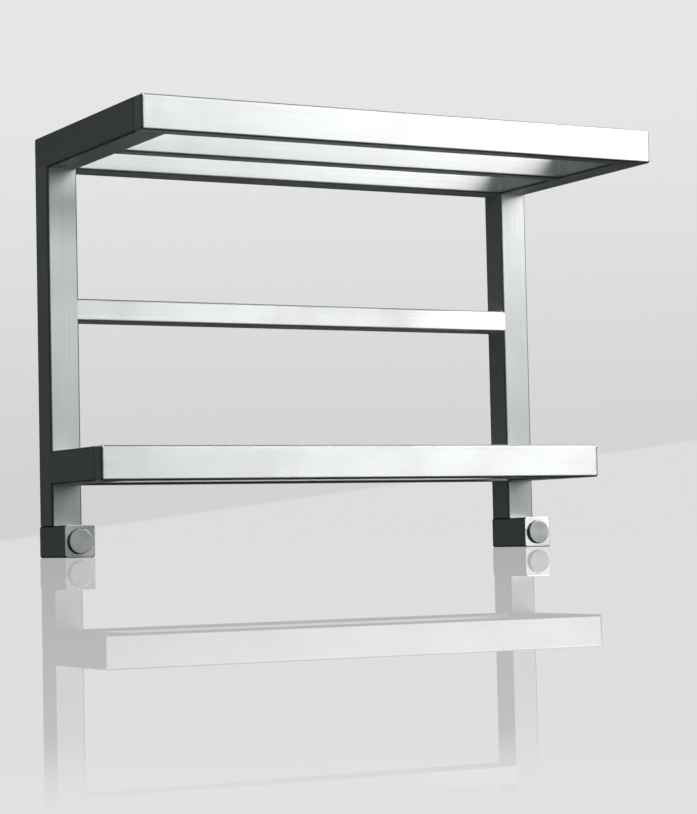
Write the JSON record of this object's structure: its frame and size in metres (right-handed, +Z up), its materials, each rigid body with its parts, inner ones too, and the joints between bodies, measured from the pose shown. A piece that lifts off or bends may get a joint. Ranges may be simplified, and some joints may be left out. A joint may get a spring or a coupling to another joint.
{
  "type": "wall-mounted towel radiator with shelf",
  "caption": "Wall-mounted towel rack in brushed steel tube: slatted shelf on top, slim middle rail, lower hanging frame, and square valves with round knobs at the feet.",
  "frame": {"origin": "centre of the four wall fixings, on the wall plane", "axes": "+X along the rack towards its right end seen from the room, +Y into the wall, +Z up"},
  "size_m": [0.6, 0.29, 0.45],
  "materials": {
    "tube": "brushed along the tube, satin",
    "end_plate": "ground flush, satin",
    "valve_body": "fine brushed, satin",
    "knob": "turned face, satin",
    "socket": "machined",
    "peg": "turned, plain",
    "grub_screw": "blackened, slightly oily",
    "clip": "spring steel, bright",
    "vent": "bright nickel plate",
    "brass": "machined",
    "rubber": "matt black"
  },
  "bodies": {
    "frame": {"left_upright": "tube", "right_upright": "tube", "left_shelf_arm": "tube", "right_shelf_arm": "tube", "shelf_front_bar": "tube", "shelf_middle_bar": "tube", "shelf_rear_bar": "tube", "middle_rail": "tube", "left_lower_arm": "tube", "right_lower_arm": "tube", "lower_front_bar": "tube", "lower_rear_bar": "tube", "shelf_front_bar_end_plates": "end_plate", "lower_front_bar_end_plates": "end_plate", "shelf_arm_end_plates": "end_plate", "wall_sockets": "socket", "wall_pegs": "peg", "wall_grub_screws": "grub_screw", "air_vent_boss": "socket", "air_vent_plug": "vent", "air_vent_seal": "rubber", "left_foot_plug": "end_plate", "left_nipple": "brass", "left_nipple_seal": "rubber", "left_valve_body": "valve_body", "left_pipe_seal": "rubber", "left_pipe_grub_screw": "grub_screw", "left_bonnet": "brass", "left_bonnet_seal": "rubber", "right_foot_plug": "end_plate", "right_nipple": "brass", "right_nipple_seal": "rubber", "right_valve_body": "valve_body", "right_pipe_seal": "rubber", "right_pipe_grub_screw": "grub_screw", "right_bonnet": "brass", "right_bonnet_seal": "rubber"},
    "left_knob_and_spindle": {"left_knob": "knob", "left_knob_grub_screw": "grub_screw", "left_spindle": "brass", "left_spindle_seals": "rubber", "left_spindle_clip": "clip"},
    "left_plunger_and_washer": {"left_plunger": "brass", "left_seat_washer": "rubber"},
    "right_knob_and_spindle": {"right_knob": "knob", "right_knob_grub_screw": "grub_screw", "right_spindle": "brass", "right_spindle_seals": "rubber", "right_spindle_clip": "clip"},
    "right_plunger_and_washer": {"right_plunger": "brass", "right_seat_washer": "rubber"},
    "bleed_screw": {"bleed_screw": "vent"}
  },
  "joints": [
    {"name": "left_knob_turn", "type": "hinge", "parent": "frame", "child": "left_knob_and_spindle", "pos_m": [-0.283, -0.071, -0.2465], "axis": [0, -1, 0], "range_deg": [0, 1080]},
    {"name": "left_plunger_lift", "type": "slide", "parent": "frame", "child": "left_plunger_and_washer", "axis": [0, -1, 0], "range_m": [0, 0.0045]},
    {"name": "right_knob_turn", "type": "hinge", "parent": "frame", "child": "right_knob_and_spindle", "pos_m": [0.283, -0.071, -0.2465], "axis": [0, -1, 0], "range_deg": [0, 1080]},
    {"name": "right_plunger_lift", "type": "slide", "parent": "frame", "child": "right_plunger_and_washer", "axis": [0, -1, 0], "range_m": [0, 0.0045]},
    {"name": "bleed_screw_turn", "type": "hinge", "parent": "frame", "child": "bleed_screw", "pos_m": [0.283, -0.018, 0.184], "axis": [0, 0, 1], "range_deg": [0, 360]}
  ],
  "couplings": [
    {"joint": "left_plunger_lift", "follows": "left_knob_turn", "m_per_rad": 0.00023873},
    {"joint": "right_plunger_lift", "follows": "right_knob_turn", "m_per_rad": 0.00023873}
  ]
}
